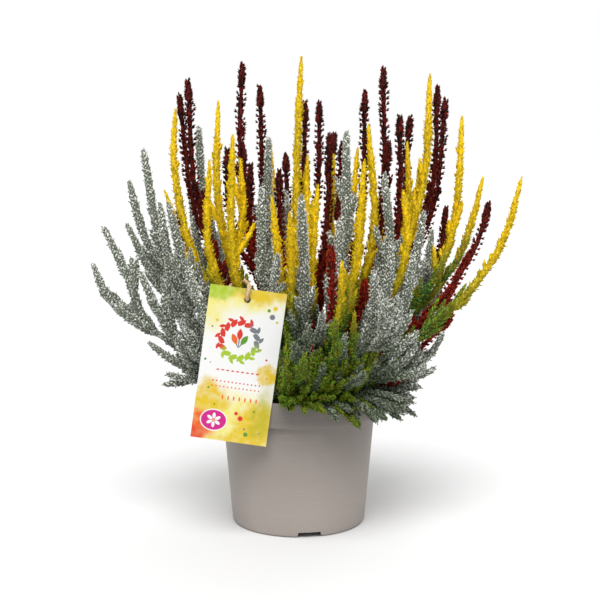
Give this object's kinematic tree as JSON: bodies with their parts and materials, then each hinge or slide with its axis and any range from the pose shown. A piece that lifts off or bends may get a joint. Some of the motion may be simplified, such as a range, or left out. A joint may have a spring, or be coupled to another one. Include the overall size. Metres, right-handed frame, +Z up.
{
  "type": "potted heather",
  "caption": "Mixed bud heather in silver, yellow and dark red with upright leafy spikes, in a round tapered nursery pot with a hanging card label.",
  "frame": {"origin": "middle of the pot's foot ring, on the surface the pot stands on", "axes": "+Z up along the pot's axis; -Y towards the front, the side that the label hangs on; +X to the right as seen from the front"},
  "size_m": [0.3315, 0.2407, 0.3634],
  "materials": {
    "pot_plastic": "matte",
    "soil": "rough",
    "label_card": "satin",
    "tie_fibre": "matte",
    "silver_foliage": "matte",
    "yellow_foliage": "matte",
    "red_foliage": "matte",
    "woody_stem": "rough"
  },
  "bodies": {
    "root": {"pot": "pot_plastic", "potting_soil": "soil", "label": "label_card", "label_tie": "tie_fibre", "silver_shoot_01": "silver_foliage", "silver_shoot_02": "silver_foliage", "silver_shoot_03": "silver_foliage", "silver_shoot_04": "silver_foliage", "silver_shoot_05": "silver_foliage", "silver_shoot_06": "silver_foliage", "silver_shoot_07": "silver_foliage", "silver_shoot_08": "silver_foliage", "silver_shoot_09": "silver_foliage", "silver_shoot_10": "silver_foliage", "silver_shoot_11": "silver_foliage", "silver_shoot_12": "silver_foliage", "silver_shoot_13": "silver_foliage", "silver_shoot_14": "silver_foliage", "silver_shoot_15": "silver_foliage", "silver_shoot_16": "silver_foliage", "silver_shoot_17": "silver_foliage", "silver_shoot_18": "silver_foliage", "silver_shoot_19": "silver_foliage", "silver_shoot_20": "silver_foliage", "yellow_shoot_01": "yellow_foliage", "yellow_shoot_02": "yellow_foliage", "yellow_shoot_03": "yellow_foliage", "yellow_shoot_04": "yellow_foliage", "yellow_shoot_05": "yellow_foliage", "yellow_shoot_06": "yellow_foliage", "yellow_shoot_07": "yellow_foliage", "yellow_shoot_08": "yellow_foliage", "yellow_shoot_09": "yellow_foliage", "yellow_shoot_10": "yellow_foliage", "yellow_shoot_11": "yellow_foliage", "yellow_shoot_12": "yellow_foliage", "yellow_shoot_13": "yellow_foliage", "yellow_shoot_14": "yellow_foliage", "yellow_shoot_15": "yellow_foliage", "yellow_shoot_16": "yellow_foliage", "yellow_shoot_17": "yellow_foliage", "yellow_shoot_18": "yellow_foliage", "yellow_shoot_19": "yellow_foliage", "red_shoot_01": "red_foliage", "red_shoot_02": "red_foliage", "red_shoot_03": "red_foliage", "red_shoot_04": "red_foliage", "red_shoot_05": "red_foliage", "red_shoot_06": "red_foliage", "red_shoot_07": "red_foliage", "red_shoot_08": "red_foliage", "red_shoot_09": "red_foliage", "red_shoot_10": "red_foliage", "red_shoot_11": "red_foliage", "red_shoot_12": "red_foliage", "red_shoot_13": "red_foliage", "red_shoot_14": "red_foliage", "red_shoot_15": "red_foliage", "red_shoot_16": "red_foliage", "red_shoot_17": "red_foliage"}
  },
  "joints": []
}
